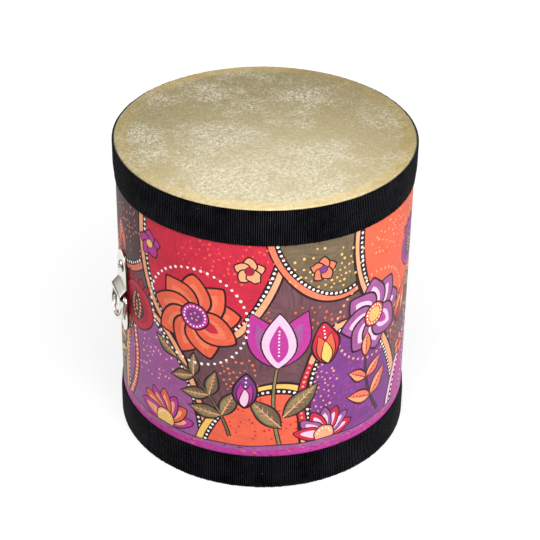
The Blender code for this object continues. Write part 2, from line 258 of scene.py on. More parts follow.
# Broad stems: start, end, bow, colour, beads
VINES = (
    ((-108, 30), (-96, 90), -0.12, "orange", "white"),
    ((33, 30), (30, 92), 0.12, "crimson", "peach"),
    ((116, 30), (118, 96), -0.1, "violet", "white"),
    ((160, 30), (164, 86), 0.12, "orange", "white"),
    ((-246, 30), (-240, 90), -0.12, "magenta", "peach"),
    ((-164, 30), (-166, 88), 0.1, "crimson", "white"),
)


def steps(low, high, count):
    return [low + (high - low) * i / count for i in range(count + 1)]


def polar(u, v, turn, far):
    """The point this far from a place in this direction."""
    return u + far * cos(turn), v + far * sin(turn)


def heading(a, b):
    return atan2(b[1] - a[1], b[0] - a[0])


def ellipse(u, v, reach_u, reach_v, turn=0.0, count=40):
    turns = [turn + tau * i / count for i in range(count)]
    return [(u + reach_u * cos(a), v + reach_v * sin(a)) for a in turns]


def circle(u, v, radius, count=40):
    return ellipse(u, v, radius, radius, 0, count)


def arc(centre, radius, start, end, count):
    """Points on an arc, in degrees counted from the first axis towards the second."""
    return [polar(*centre, radians(a), radius) for a in steps(start, end, count)]


def laid(points, u, v, turn):
    """Points along and across a direction, laid out from a place."""
    c, s = cos(turn), sin(turn)
    return [(u + a * c - b * s, v + a * s + b * c) for a, b in points]


def petal(u, v, turn, length, width, blunt):
    """A closed outline from the root to the tip and back. A larger blunt makes the tip sharper."""
    side = []
    for i in range(PETAL_STEPS + 1):
        along = length * (1 - cos(pi * i / PETAL_STEPS)) / 2
        bow = sin(pi * (along / length) ** 0.85) ** blunt if 0 < i < PETAL_STEPS else 0.0
        side.append((along, width / 2 * bow))
    return laid([(a, -b) for a, b in side] + side[-2:0:-1], u, v, turn)


def normals(points):
    """A direction out of each corner of a closed outline, longer where the corner is sharp."""
    count = len(points)
    found = []
    for i in range(count):
        (x0, y0), (x1, y1), (x2, y2) = points[i - 1], points[i], points[(i + 1) % count]
        a, b = (y1 - y0, x0 - x1), (y2 - y1, x1 - x2)
        la, lb = hypot(*a) or 1, hypot(*b) or 1
        n = (a[0] / la + b[0] / lb, a[1] / la + b[1] / lb)
        size = hypot(*n) or 1
        sharp = max(0.55, size / 2)
        found.append((n[0] / size / sharp, n[1] / size / sharp))
    return found


def moved_out(points, shifts):
    return [(x + s * nx, y + s * ny) for (x, y), (nx, ny), s in zip(points, normals(points), shifts)]


def grown(points, amount):
    """The outline moved out by this much, or in if it is negative."""
    return moved_out(points, [amount] * len(points))


def closed(points):
    return points + points[:1]


def path_length(path):
    return sum(dist(a, b) for a, b in zip(path, path[1:]))


def spaced(path, gap):
    """Points at even steps along a path, close to this far apart."""
    total = path_length(path)
    count = max(1, round(total / gap))
    loop = dist(path[0], path[-1]) < 1e-6
    found, run, k = [], 0.0, 0
    for i in range(count if loop else count + 1):
        want = total * i / count
        while k < len(path) - 2 and run + dist(path[k], path[k + 1]) < want:
            run += dist(path[k], path[k + 1])
            k += 1
        t = min(1, (want - run) / (dist(path[k], path[k + 1]) or 1))
        found.append(tuple(a + (b - a) * t for a, b in zip(path[k], path[k + 1])))
    return found


def ribbon_of(path, start, end):
    """The outline of a brush stroke along a path, its width going from start to end."""
    left, right = [], []
    count = len(path)
    for i, (x, y) in enumerate(path):
        before, after = path[max(0, i - 1)], path[min(count - 1, i + 1)]
        dx, dy = after[0] - before[0], after[1] - before[1]
        size = hypot(dx, dy) or 1
        half = (start + (end - start) * i / (count - 1)) / 2
        left.append((x - half * dy / size, y + half * dx / size))
        right.append((x + half * dy / size, y - half * dx / size))
    return right + left[::-1]


def bend(a, b, bow):
    """A bowed path between two points."""
    (x0, y0), dx, dy = a, b[0] - a[0], b[1] - a[1]
    return [
        (x0 + dx * t - dy * bow * 4 * t * (1 - t), y0 + dy * t + dx * bow * 4 * t * (1 - t))
        for t in steps(0, 1, BEND_STEPS)
    ]


class Print:
    """A folk floral design on the flat sheet, in mm: u round the drum from its front, v its height."""

    def __init__(self):
        self.rng = random.Random(PRINT_SEED)
        self.layers = []

    def paint(self, points, colour):
        self.layers.append((points, colour))

    def inked(self, points, colour, line=1.1):
        """A filled shape with a dark line round it."""
        self.paint(grown(points, line), "ink")
        self.paint(points, colour)

    def shifts(self, count, amount):
        """How far out a hand strays at each of these points round a shape."""
        waves = [(self.rng.randint(2, 6), self.rng.uniform(0, tau)) for _ in range(3)]
        turns = [tau * i / count for i in range(count)]
        return [amount * sum(sin(k * turn + p) for k, p in waves) / 2 for turn in turns]

    def hand(self, points, amount):
        """The same shape as a hand would paint it, a little uneven."""
        return moved_out(points, self.shifts(len(points), amount))

    def dot(self, u, v, radius, colour, sides=12):
        turn = self.rng.uniform(0, 1)
        size = radius * self.rng.uniform(0.88, 1.12)
        self.paint(ellipse(u, v, size, size * self.rng.uniform(0.9, 1.1), turn, sides), colour)

    def dots(self, path, gap, radius, colour="white"):
        for u, v in spaced(path, gap):
            u, v = u + self.rng.uniform(-0.12, 0.12), v + self.rng.uniform(-0.12, 0.12)
            self.dot(u, v, radius, colour)

    def stipple(self, u, v, reach_u, reach_v, count, radius, colour):
        """Loose dots, closer together towards the middle."""
        placed = []
        for _ in range(count * 6):
            far, turn = self.rng.random() ** 0.7, self.rng.uniform(0, tau)
            p = (u + reach_u * far * cos(turn), v + reach_v * far * sin(turn))
            if all(dist(p, q) > 3.2 * radius for q in placed):
                placed.append(p)
                self.dot(*p, radius * self.rng.uniform(0.7, 1.1), colour, 9)
            if len(placed) == count:
                break

    def stroke(self, path, start, end, colour):
        self.paint(ribbon_of(path, start, end), colour)

    def petal(self, u, v, turn, length, width, colours, line=1.35, blunt=0.75):
        """A petal from its root, with a smaller one painted inside it for each further colour."""
        back = polar(u, v, turn, -line)
        uneven = self.shifts(2 * PETAL_STEPS, 0.25)
        outer = petal(*back, turn, length + 2.2 * line, width + 2.2 * line, blunt)
        self.paint(moved_out(outer, uneven), "ink")
        self.paint(moved_out(petal(u, v, turn, length, width, blunt), uneven), colours[0])
        for i, colour in enumerate(colours[1:], 1):
            share = 1 - 0.3 * i
            root = polar(u, v, turn, length * 0.1 * i)
            inner = petal(*root, turn, length * share, width * share * 0.8, blunt)
            self.paint(self.hand(inner, 0.15), colour)

    def blossom(self, u, v, radius, count, colours, heart, turn):
        """A round flower seen from the front."""
        width = 2.1 * radius * sin(pi / count)
        for i in range(count):
            self.petal(u, v, turn + tau * i / count, radius, width, colours)
        middle = 0.3 * radius
        self.inked(self.hand(circle(u, v, middle), 0.2), heart[0])
        self.paint(self.hand(circle(u, v, middle * 0.62, 24), 0.15), heart[1])
        self.dots(closed(circle(u, v, middle * 0.82)), 2.3, 0.62)
        for i in range(5):
            self.dot(*polar(u, v, turn + tau * i / 5, 0.3 * middle), 0.75, "peach")

    def leaf(self, u, v, turn, length, width, fill, half, vein="peach"):
        """A pointed leaf: one half lighter, with a mid vein and short side veins."""
        self.petal(u, v, turn, length, width, (fill,), 1.15, 1.2)
        bow = [(length * t, 0.4 * width * sin(pi * t**0.85) ** 1.2) for t in steps(0.12, 0.88, 10)]
        side = [(length * 0.06, 0.0)] + bow + [(length * 0.94, 0.0)]
        self.paint(laid(side, u, v, turn), half)
        self.stroke([(u, v), polar(u, v, turn, 0.9 * length)], 0.9, 0.3, vein)
        for i in range(2, 6):
            root = polar(u, v, turn, length * i / 7)
            reach = 0.26 * width * sin(pi * min(1, i / 6.5)) * 1.3
            for lean in (0.75, -0.75):
                self.stroke([root, polar(*root, turn + lean, reach)], 0.5, 0.22, vein)

    def sprig(self, start, end, bow, pairs, length, fill, half, stem="olive", vein="peach"):
        """A bent stem with leaves in pairs and one at its tip."""
        path = bend(start, end, bow)
        self.stroke(path, 2.9, 2.0, "ink")
        places = spaced(path, path_length(path) / (pairs + 1))
        for i, place in enumerate(places[1:-1]):
            run = heading(place, places[i + 2])
            size = length * (1 - 0.35 * i / pairs)
            for lean in (0.95, -0.95):
                self.leaf(*place, run + lean, size, size * 0.42, fill, half, vein)
        run = heading(path[-2], path[-1])
        self.leaf(*path[-1], run, length * 0.85, length * 0.36, fill, half, vein)
        self.stroke(path, 1.5, 0.8, stem)

    def tulip(self, u, v, height, colours, inner):
        """A cup of three petals, open at the top."""
        wide = 0.5 * height
        for lean in (-0.42, 0.42):
            self.petal(u, v, pi / 2 + lean, height, wide, colours, 0.95, 0.95)
        self.petal(u, v - 0.02 * height, pi / 2, height * 0.93, wide, inner, 0.95, 0.95)
        self.dots([(u, v + 0.2 * height), (u, v + 0.62 * height)], 2.6, 0.6)

    def pod(self, u, v, radius, colours, seed):
        """A ripe pod with a crown and a split that shows its seeds."""
        for i in range(5):
            lean = pi / 2 + (i - 2) * 0.32
            root = polar(u, v, lean, 0.8 * radius)
            self.petal(*root, lean, 0.62 * radius, 0.3 * radius, (colours[1],), 0.8, 1.2)
        self.inked(self.hand(ellipse(u, v, radius, radius * 0.94), 0.4), colours[0], 1.0)
        flesh = ellipse(u - radius * 0.06, v, radius * 0.8, radius * 0.76)
        self.paint(self.hand(flesh, 0.3), colours[1])
        low = v - radius * 0.62
        self.petal(u, low, pi / 2, radius * 1.24, radius * 0.86, ("umber",), 0.8, 1.1)
        for row in range(-3, 4):
            across = 0.30 * radius * cos(row * 0.36)
            count = max(1, round(across / 1.6))
            for i in range(count):
                at = 0 if count == 1 else across * (2 * i / (count - 1) - 1) * 0.82
                self.dot(u + at, v + row * radius * 0.155, radius * 0.062, seed, 8)

    def field(self, u, base, half_width, tall, lean, fill, edge, stripe):
        """A leaning round field, striped and beaded at its edge. A negative height makes it hang."""
        reach, rise = half_width, abs(tall)
        for colour, wide in (("ink", 1.6), (edge, stripe), ("ink", stripe), (fill, 0)):
            outline = [(x + lean * (y - base), y) for x, y in ellipse(u, base, reach, rise, 0, 72)]
            self.paint(self.hand(outline, 0.5), colour)
            reach -= wide
            rise -= wide
        sign = copysign(1, tall)
        path = ellipse(u, base, reach + stripe / 2, rise + stripe / 2, 0, 120)
        path = [(x + lean * (y - base), y) for x, y in path if sign * (y - base) > 2]
        self.dots(path, 3.3, 0.92)

    def fan(self, u, v, radius, count, colours):
        """A half-round palmette."""
        width = 2.0 * radius * sin(pi / count / 2) * 1.05
        for i in range(count):
            shades = (colours[i % 2], colours[2])
            self.petal(u, v, pi * (i + 0.5) / count, radius, width, shades, 0.8, 0.6)
        self.inked(self.hand(circle(u, v, radius * 0.32), 0.2), colours[3], 0.8)
        self.dots([polar(u, v, a, radius * 0.23) for a in steps(0.3, 2.84, 12)], 2.2, 0.55)

    def drop(self, u, v, turn, length, width, colours, rim="white"):
        """A closed bud: side petals folded round a shorter middle one, with beads up to its tip."""
        self.petal(u, v, turn, length, width, (colours[0],), 1.35, 0.8)
        for lean in (0.2, -0.2):
            self.petal(u, v, turn + lean, length * 0.72, width * 0.44, (colours[1],), 0.7, 0.9)
        self.petal(u, v, turn, length * 0.54, width * 0.4, (colours[2],), 0.7, 0.9)
        self.dots([polar(u, v, turn, t * length) for t in (0.64, 0.9)], 2.5, 0.62, rim)

    def vine(self, path, colour, bead):
        """A broad stem with a dark line on each side and a row of beads down its middle."""
        foot, tip = VINE_WIDTH, VINE_WIDTH * 0.8
        self.stroke(path, foot + 2.6, tip + 2.2, "ink")
        self.stroke(path, foot, tip, colour)
        self.dots(path, 3.4, 0.85, bead)

    def halo(self, u, v, radius, colour="white"):
        """A ring of dots round a flower."""
        self.dots(closed(circle(u, v, radius, 48)), 4.4, 0.95, colour)

    def bud(self, u, v, size, colours):
        """A small five-petalled flower that fills a gap."""
        for i in range(5):
            self.petal(u, v, 0.3 + tau * i / 5, size, size * 0.85, (colours[0],), 0.9, 0.65)
        self.inked(circle(u, v, size * 0.3, 14), colours[1], 0.4)

    def border(self):
        """A plain border above the lower ribbon, with short flecks of other paints."""
        foot = [(BORDER_FROM, BORDER_FOOT), (BORDER_TO, BORDER_FOOT)]
        across = steps(BORDER_TO, BORDER_FROM, 150)
        top = [(u, BORDER_TOP + 0.5 * sin(u * 0.05) + 0.3 * sin(u * 0.17)) for u in across]
        self.paint(foot + top, "ink")
        self.paint(foot + [(u, v - 0.7) for u, v in top], "violet")
        self.paint(foot + [(u, BORDER_MIDDLE + 0.3 * sin(u * 0.11)) for u in across], "magenta")
        vary = self.rng.uniform
        for _ in range(FLECKS):
            u, v = vary(SHEET_FROM, SHEET_TO), vary(24.8, 31.2)
            long, turn = vary(0.7, 2.2), vary(0, pi)
            du, dv = long * cos(turn), 0.5 * long * sin(turn)
            wide = vary(0.5, 1.0)
            colour = self.rng.choice(("coral", "ruby", "purple", "umber", "crimson"))
            self.stroke([(u - du, v - dv), (u + du, v + dv)], wide, 0.4, colour)


def sheet_art():
    """The painted shapes from the lowest to the topmost, each with its colour."""
    p = Print()
    for u, half, tall, lean, fill, edge in HANGING:
        p.field(u, SHEET_HIGH, half, -tall, lean, fill, edge, 3.4)
    for u, half, tall, lean, fill, edge in RISING:
        p.field(u, FIELD_FOOT, half, tall, lean, fill, edge, 3.6)
    for row in STIPPLES:
        p.stipple(*row)
    for start, end, bow, colour, bead in VINES:
        p.vine(bend(start, end, bow), colour, bead)

    # Front, from the bracket round to the right
    p.sprig((-128, 34), (-118, 92), 0.12, 3, 24, "moss", "gold", "olive", "umber")
    p.pod(-92, 108, 17, ("crimson", "ruby"), "peach")
    p.fan(-66, 36, 22, 7, ("magenta", "orange", "peach", "gold"))
    p.sprig((-20, 38), (-56, 88), -0.1, 3, 22, "olive", "moss")
    p.blossom(-42, 122, 29, 9, ("orange", "coral", "crimson"), ("magenta", "purple"), 0.2)
    stem = bend((12, 30), (10, 96), 0.06)
    p.stroke(stem, 3.2, 2.4, "ink")
    p.stroke(stem, 1.8, 1.2, "moss")
    p.leaf(12, 46, 2.3, 30, 12, "olive", "moss")
    p.leaf(13, 54, 0.8, 32, 12, "olive", "moss")
    p.tulip(10, 92, 42, ("magenta", "violet"), ("pink", "magenta"))
    p.blossom(76, 112, 26, 8, ("violet", "pink", "magenta"), ("orange", "gold"), 0.1)
    p.sprig((84, 36), (70, 84), 0.08, 2, 21, "coral", "peach", "umber", "ruby")
    p.fan(40, 36, 20, 7, ("crimson", "violet", "pink", "peach"))
    p.pod(122, 140, 15, ("magenta", "purple"), "gold")
    p.sprig((140, 36), (128, 104), -0.1, 4, 22, "olive", "moss")
    p.halo(-42, 122, 33.5)
    p.halo(76, 112, 30.5, "peach")
    p.drop(41, 90, 1.7, 30, 17, ("crimson", "orange", "gold"))
    p.drop(-11, 62, 1.5, 24, 14, ("purple", "magenta", "pink"))
    p.drop(104, 92, 1.2, 26, 15, ("orange", "peach", "ruby"), "ruby")
    p.drop(-112, 132, 1.7, 26, 15, ("orange", "coral", "ruby"))
    p.bud(-8, 160, 9, ("peach", "ruby"))
    p.bud(36, 158, 8, ("coral", "purple"))
    p.bud(-76, 160, 9, ("magenta", "gold"))
    p.bud(112, 70, 8, ("coral", "ruby"))

    # Round the back
    p.blossom(178, 112, 28, 9, ("orange", "peach", "crimson"), ("purple", "magenta"), 0.4)
    p.fan(196, 36, 22, 7, ("gold", "orange", "ruby", "magenta"))
    p.sprig((222, 36), (224, 96), 0.1, 3, 23, "moss", "gold", "olive", "umber")
    p.tulip(252, 84, 42, ("violet", "magenta"), ("coral", "crimson"))
    p.pod(274, 142, 15, ("orange", "crimson"), "peach")
    p.sprig((-262, 34), (-268, 94), -0.1, 3, 23, "olive", "moss")
    p.blossom(-222, 126, 28, 8, ("magenta", "pink", "violet"), ("orange", "crimson"), 0.3)
    p.fan(-206, 36, 23, 7, ("orange", "violet", "peach", "crimson"))
    p.tulip(-168, 84, 44, ("orange", "coral"), ("gold", "orange"))
    p.halo(178, 112, 32.5)
    p.halo(-222, 126, 32.5)
    p.drop(140, 96, 1.4, 28, 16, ("crimson", "orange", "gold"))
    p.drop(232, 106, 1.8, 28, 16, ("purple", "magenta", "pink"))
    p.drop(-190, 98, 1.4, 27, 15, ("orange", "peach", "ruby"), "ruby")
    p.drop(-148, 104, 1.7, 28, 16, ("crimson", "coral", "purple"))
    p.bud(-140, 150, 9, ("pink", "purple"))
    p.bud(150, 152, 9, ("peach", "crimson"))
    p.bud(218, 152, 9, ("pink", "magenta"))
    p.bud(-262, 150, 8, ("gold", "crimson"))
    p.border()
    return p.layers


class Value:
    """What a shader node gives. Sums and products of values add further nodes to its tree."""

    def __init__(self, socket):
        self.socket = socket
        self.tree = socket.id_data

    def math(self, kind, other=0.0):
        return add_node(self.tree, "ShaderNodeMath", {0: self, 1: other}, operation=kind)

    def __add__(self, other):
        return self.math("ADD", other)

    def __sub__(self, other):
        return self.math("SUBTRACT", other)

    def __rsub__(self, other):
        return add_node(self.tree, "ShaderNodeMath", {0: other, 1: self}, operation="SUBTRACT")

    def __mul__(self, other):
        return self.math("MULTIPLY", other)

    def __pow__(self, other):
        return self.math("POWER", other)

    def __abs__(self):
        return self.math("ABSOLUTE")

    def larger(self, other):
        return self.math("MAXIMUM", other)

    def ramp(self, start, end, low, high, **settings):
        """An even run from low, where this is start, to high, where it is end."""
        inputs = {0: self, 1: start, 2: end, 3: low, 4: high}
        return add_node(self.tree, "ShaderNodeMapRange", inputs, **settings)

    def rise(self, start, end, low=0.0, high=1.0):
        """The same as a smooth run, from 0 to 1 unless told otherwise."""
        return self.ramp(start, end, low, high, interpolation_type="SMOOTHSTEP")

    def spread(self, low, high):
        """A value from 0 to 1 spread evenly from low to high."""
        return self.ramp(0.0, 1.0, low, high)

    def between(self, a, b):
        """The number a where this is 0, b where it is 1."""
        return add_node(self.tree, "ShaderNodeMix", {0: self, 2: a, 3: b})

    def mix(self, a, b):
        """The colour a where this is 0, b where it is 1."""
        return add_node(self.tree, "ShaderNodeMix", {0: self, 6: a, 7: b}, 2, data_type="RGBA")

    def vector(self, kind, other=(0, 0, 0)):
        slot = 3 if kind == "SCALE" else 1
        out = "Value" if kind in ("LENGTH", "DOT_PRODUCT") else 0
        inputs = {0: self, slot: other}
        return add_node(self.tree, "ShaderNodeVectorMath", inputs, out, operation=kind)

    def scaled(self, factor):
        return self.vector("SCALE", factor)

    def mapped(self, scale=(1, 1, 1), turn=(0, 0, 0), shift=(0, 0, 0)):
        inputs = {"Vector": self, "Scale": scale, "Rotation": turn, "Location": shift}
        return add_node(self.tree, "ShaderNodeMapping", inputs)

    def noise(self, scale, detail=2.0, rough=0.5, out="Fac"):
        inputs = {"Vector": self, "Scale": scale, "Detail": detail, "Roughness": rough}
        return add_node(self.tree, "ShaderNodeTexNoise", inputs, out)


def feed(socket, value):
    """Links a value to a socket, or sets the socket to a number or a colour."""
    if isinstance(value, Value):
        socket.id_data.links.new(value.socket, socket)
    elif socket.type == "RGBA" and len(value) == 3:
        socket.default_value = (*value, 1.0)
    else:
        socket.default_value = value


def add_node(tree, kind, inputs=None, out=0, **settings):
    """Adds a node to a tree and gives its output, or a list where several are named."""
    made = tree.nodes.new(kind)
    for key, value in settings.items():
        setattr(made, key, value)
    for key, value in (inputs or {}).items():
        feed(made.inputs[key], value)
    if isinstance(out, tuple):
        return [Value(made.outputs[key]) for key in out]
    return Value(made.outputs[out])


class Look:
    """A material, whose nodes start from a place on the object."""

    def __init__(self, name, **values):
        self.material = bpy.data.materials.new(name)
        self.material.use_nodes = True
        self.tree = self.material.node_tree
        self.shader = self.tree.nodes["Principled BSDF"]
        self.place = add_node(self.tree, "ShaderNodeTexCoord", out="Object")
        self.set(**values)

    def set(self, **values):
        for name, value in values.items():
            feed(self.shader.inputs[name.replace("_", " ")], value)

    def bump(self, height, strength, distance):
        inputs = {"Height": height, "Strength": strength, "Distance": distance}
        self.set(Normal=add_node(self.tree, "ShaderNodeBump", inputs))


def srgb(*levels):
    """A colour written in the usual 0 to 255 levels, as the shader takes it."""
    shares = [level / 255 for level in levels]
    return tuple(c / 12.92 if c < 0.04045 else ((c + 0.055) / 1.055) ** 2.4 for c in shares)


def strands(place, cells, wide, share):
    """Short fibres, one to a cell of this many to the metre, each turned its own way and a bit bent."""
    tree = place.tree
    spot = place.scaled(cells)
    inputs, wanted = {"Vector": spot, "Scale": 1.0}, ("Color", "Position")
    tint, middle = add_node(tree, "ShaderNodeTexVoronoi", inputs, wanted, voronoi_dimensions="2D")
    red, green, blue = add_node(tree, "ShaderNodeSeparateColor", {0: tint}, (0, 1, 2))
    inputs = {"Vector": spot.vector("SUBTRACT", middle), "Angle": red * tau}
    lain = add_node(tree, "ShaderNodeVectorRotate", inputs, rotation_type="Z_AXIS")
    along, across = add_node(tree, "ShaderNodeSeparateXYZ", {0: lain}, (0, 1))
    off = abs(across - along * along * green.spread(-0.15, 0.15))
    body = 1.0 - off.rise(0.4 * wide, wide)
    ends = 1.0 - abs(along).rise(0.4, 0.55)
    pale = blue.math("LESS_THAN", share) * (green**2.0).spread(0.3, 1.0)
    return body * ends * pale


def film_look():
    """Fibre-filled film: pale fibres in soft drifts, and the shell's rim seen through it as straw."""
    look = Look("film", Specular_IOR_Level=0.3)
    place = look.place
    x, y = add_node(look.tree, "ShaderNodeSeparateXYZ", {0: place}, (0, 1))
    radius = (x**2.0 + y**2.0).math("SQRT")
    uneven = place.noise(60.0, 5.0, 0.62) * 0.005
    rim = (radius + uneven).rise(STRAW_FROM, STRAW_FULL)

    fibres = None
    for i, kind in enumerate(FIBRES):
        layer = strands(place.mapped(shift=(0.031 * i, 0.017 * i, 0)), *kind)
        fibres = fibres.larger(layer) if fibres else layer
    # Painted light: round a spot towards the front of the middle the head is painted paler, as a pool
    # of light, and darker away from it.
    painted_light = place.vector("SUBTRACT", PAINTED_LIGHT_SPOT).vector("LENGTH").rise(PAINTED_LIGHT_REACH, PAINTED_LIGHT_HEART)
    drifts = place.noise(36.0, 7.0, 0.68) + place.vector("DOT_PRODUCT", TO_LEFT) * 0.35
    thick = (drifts + painted_light.spread(-0.02, 0.07)).rise(0.4, 0.66)
    within = rim.spread(1.0, 0.5)
    shown = thick.spread(0.32, 1.35) * painted_light.spread(1.1, 0.62)
    lay = fibres * shown * within
    bloom = place.noise(420.0, 4.0, 0.68).rise(0.38, 0.7)
    # The haze is the film's own pale bloom, plus painted light round the front spot.
    haze_and_painted_light = bloom * thick.spread(0.06, 0.8) * within + painted_light.spread(0.0, 0.28)

    ground = place.noise(13.0, 3.0).mix(srgb(160, 143, 92), srgb(183, 165, 110))
    # Painted light: the ground is paler near the front spot.
    ground = ground.scaled(painted_light.spread(0.92, 1.2))
    mottle = place.noise(240.0, 5.0, 0.7).rise(0.3, 0.72)
    golden = place.noise(38.0, 4.0, 0.6).rise(0.46, 0.66) * 0.6
    straw = mottle.mix(srgb(184, 158, 90), srgb(212, 189, 124))
    # Painted light: the straw is paler near the front spot and darker away from it.
    straw = golden.mix(straw, srgb(190, 158, 78)).scaled((painted_light**2.0).spread(0.78, 1.38))
    # Painted highlight: the straw is paler towards the back.
    straw = straw.scaled(y.rise(0.064, 0.088).spread(1.0, 1.5))
    grain = place.noise(820.0, 3.0, 0.7).spread(0.86, 1.1)
    colour = haze_and_painted_light.mix(rim.mix(ground, straw).scaled(grain), srgb(226, 216, 190))
    colour = lay.mix(colour, srgb(252, 247, 230))
    look.set(Base_Color=colour, Roughness=lay.spread(0.46, 0.62))
    look.bump(lay + place.noise(900.0, 2.0) * 0.5, 0.25, 0.00012)
    return look.material


def ribbon_look():
    """Black grosgrain: dense weft threads over the ribs, a patchy grey painted highlight on the crests
    and near-black painted shade in the grooves, with lint.
    """
    look = Look("ribbon", Sheen_Roughness=0.3)
    crest = add_node(look.tree, "ShaderNodeAttribute", None, "Fac", attribute_name="crest")
    threads = look.place.mapped((900.0, 900.0, 5200.0)).noise(1.0, 1.0)
    # The crest colour is a patchy grey painted highlight; the grooves get near-black painted shade.
    crest_highlight = look.place.noise(60.0, 5.0, 0.7).rise(0.3, 0.72)
    crest_highlight = crest_highlight.mix(srgb(22, 22, 27), srgb(72, 74, 85))
    high = crest.rise(0.89, 1.0) * threads.spread(0.3, 1.0)
    specks = look.place.noise(1300.0, 2.0, 0.7).rise(0.56, 0.74)
    lint = look.place.noise(640.0, 1.0).rise(0.755, 0.785)
    colour = (specks * 0.25).mix(high.mix(srgb(1, 1, 1), crest_highlight), srgb(74, 74, 79))
    colour = (lint * 0.3).mix(colour, srgb(120, 118, 120))
    proud = crest.rise(0.74, 1.0)
    look.set(
        Base_Color=colour,
        Roughness=threads.spread(0.5, 0.7),
        Sheen_Weight=proud.spread(0.01, 0.12),
        Specular_IOR_Level=proud * specks.spread(0.06, 0.34),
    )
    look.bump(threads, 0.5, 0.00012)
    return look.material


def print_look():
    """The printed sheet: brushed paint, laid on unevenly, under a satin film."""
    look = Look("print", Specular_IOR_Level=0.14)
    wanted = ("Color", "Alpha")
    paint, amount = add_node(look.tree, "ShaderNodeAttribute", None, wanted, attribute_name="paint")
    flat = add_node(look.tree, "ShaderNodeUVMap", uv_map="sheet")
    waves = flat.noise(3.5, 2.0, out="Color").vector("SUBTRACT", (0.5, 0.5, 0.5))
    bent = flat.vector("ADD", waves.scaled(0.18))
    along = bent.mapped((9.0, 62.0, 1.0), (0, 0, 0.5)).noise(1.0, 4.0, 0.62)
    down = bent.mapped((70.0, 8.0, 1.0), (0, 0, 0.15)).noise(1.0, 4.0, 0.62)
    brush = flat.noise(4.0, 1.0).rise(0.42, 0.58).between(along, down)
    pools = flat.noise(6.0, 3.0, 0.6)
    grain = flat.noise(150.0, 2.0, 0.7)
    level = brush.spread(-0.8, 0.8) + pools.spread(-0.42, 0.42) + grain.spread(-0.55, 0.55)
    look.set(Base_Color=paint.scaled(level * amount + 1.0), Roughness=pools.spread(0.38, 0.52))
    look.bump(flat.noise(260.0, 3.0), 0.12, 0.00006)
    return look.material


def nickel_look(name, low, high, edge):
    """Plated sheet or wire with fine handling marks. Faces turned to ±Y, such as a sheet's sheared
    edges, are painted dark by a share, as painted shade.
    """
    look = Look(name, Metallic=1.0)
    turned = add_node(look.tree, "ShaderNodeTexCoord", out="Normal")
    turned = add_node(look.tree, "ShaderNodeSeparateXYZ", {0: turned}, 1)
    # Painted shade: faces turned to ±Y, such as the bracket's sides, are darkened by the given share.
    painted_edge_shade = abs(turned).rise(0.55, 0.9) * edge
    smears = look.place.noise(160.0, 3.0, 0.6)
    lines = look.place.mapped((900.0, 900.0, 6000.0), (0.4, 0.2, 0.3)).noise(1.0, 2.0)
    plate = smears.mix(srgb(217, 210, 197), srgb(237, 232, 222))
    marks = smears * 0.7 + lines * 0.3
    look.set(
        Base_Color=painted_edge_shade.mix(plate, srgb(52, 49, 45)),
        Roughness=marks.spread(low, high) + painted_edge_shade * 0.25,
    )
    look.bump(lines, 0.05, 0.00005)
    return look.material


def board_look():
    """Rolled fibreboard, with its own short dark and pale fibres."""
    look = Look("fibreboard")
    fibres = look.place.mapped((500.0, 500.0, 1800.0)).noise(1.0, 3.0, 0.65)
    look.set(
        Base_Color=fibres.mix(srgb(160, 130, 94), srgb(206, 178, 138)),
        Roughness=look.place.noise(300.0).spread(0.7, 0.9),
    )
    look.bump(fibres, 0.3, 0.0002)
    return look.material


def strip_look():
    """The plain plastic strip that clamps the film's collar."""
    look = Look("hoop_strip")
    grain = look.place.noise(700.0, 3.0)
    look.set(
        Base_Color=grain.mix(srgb(44, 44, 46), srgb(62, 62, 64)),
        Roughness=grain.spread(0.4, 0.6),
    )
    look.bump(grain, 0.15, 0.0001)
    return look.material


def zinc_look():
    """Zinc-plated steel, faintly clouded."""
    look = Look("zinc_steel", Metallic=1.0)
    cloud = look.place.noise(240.0, 4.0, 0.6)
    look.set(
        Base_Color=cloud.mix(srgb(186, 188, 190), srgb(214, 214, 210)),
        Roughness=cloud.spread(0.28, 0.5),
    )
    look.bump(look.place.noise(1500.0, 2.0), 0.1, 0.00005)
    return look.material


def smooth(value):
    value = min(1.0, max(0.0, value))
    return value * value * (3 - 2 * value)


def spun(radius, angle, z):
    """A point at this radius and angle about the drum's axis."""
    return radius * cos(angle), radius * sin(angle), z


def linked(name, data):
    """A new object in the scene."""
    made = bpy.data.objects.new(name, data)
    bpy.context.scene.collection.objects.link(made)
    return made


def plain_mesh(name, points, faces, look):
    """A mesh of these points, given in mm."""
    data = bpy.data.meshes.new(name)
    data.from_pydata([(x * MM, y * MM, z * MM) for x, y, z in points], [], faces)
    data.materials.append(look)
    data.shade_smooth()
    return data


def mesh_of(name, points, faces, look):
    """A mesh that faces outwards and is smooth between its sharp edges."""
    data = plain_mesh(name, points, faces, look)
    work = bmesh.new()
    work.from_mesh(data)
    bmesh.ops.recalc_face_normals(work, faces=work.faces)
    work.to_mesh(data)
    work.free()
    data.set_sharp_from_angle(angle=SHARP_ANGLE)
    return data


def piece(data, body, node):
    """Puts a mesh in the scene in place of a CAD node."""
    made = linked(data.name, data)
    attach(made, body)
    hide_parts(node)
    return made


def quads(a, b):
    """The faces between two closed rows of points."""
    size = len(a)
    return [(a[k], a[(k + 1) % size], b[(k + 1) % size], b[k]) for k in range(size)]


